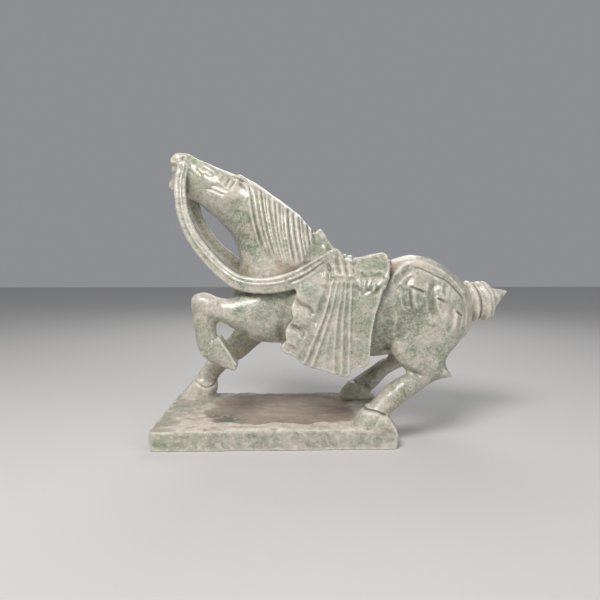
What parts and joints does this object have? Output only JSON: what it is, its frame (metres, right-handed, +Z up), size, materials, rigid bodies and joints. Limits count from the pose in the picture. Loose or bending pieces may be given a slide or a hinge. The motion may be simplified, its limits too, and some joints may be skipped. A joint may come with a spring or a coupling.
{
  "type": "carved stone horse figurine",
  "caption": "Prancing saddled horse carved with its oblong plinth from mottled green stone, head thrown back, reins standing free of the neck, tail in a twisted knot.",
  "frame": {"origin": "centre of the plinth's underside", "axes": "+Z up, the horse faces -X, and -Y is the horse's left side, on which its foreleg is raised"},
  "size_m": [0.4465, 0.154, 0.3531],
  "materials": {
    "plinth_stone": "rough-hewn edge, rubbed top",
    "body_stone": "satin polish",
    "pale_stone": "satin polish",
    "tack_stone": "gloss polish"
  },
  "bodies": {
    "root": {"base": "plinth_stone", "torso": "body_stone", "neck": "body_stone", "head": "pale_stone", "lower_jaw": "pale_stone", "near_ear": "pale_stone", "far_ear": "pale_stone", "mane": "pale_stone", "near_forearm": "body_stone", "near_fore_cannon": "body_stone", "near_fore_hoof": "pale_stone", "far_forearm": "body_stone", "far_fore_cannon": "body_stone", "far_fore_hoof": "pale_stone", "near_hind_thigh": "body_stone", "near_hind_cannon": "body_stone", "near_hind_hoof": "pale_stone", "far_hind_thigh": "body_stone", "far_hind_cannon": "body_stone", "far_hind_hoof": "pale_stone", "tail_knot": "pale_stone", "tail_tip": "pale_stone", "near_rein": "tack_stone", "far_rein": "tack_stone", "pommel": "tack_stone", "saddle": "tack_stone", "near_saddle_cloth": "tack_stone", "far_saddle_cloth": "tack_stone", "near_crupper_strap": "tack_stone", "far_crupper_strap": "tack_stone", "near_pendants": "tack_stone", "far_pendants": "tack_stone"}
  },
  "joints": []
}
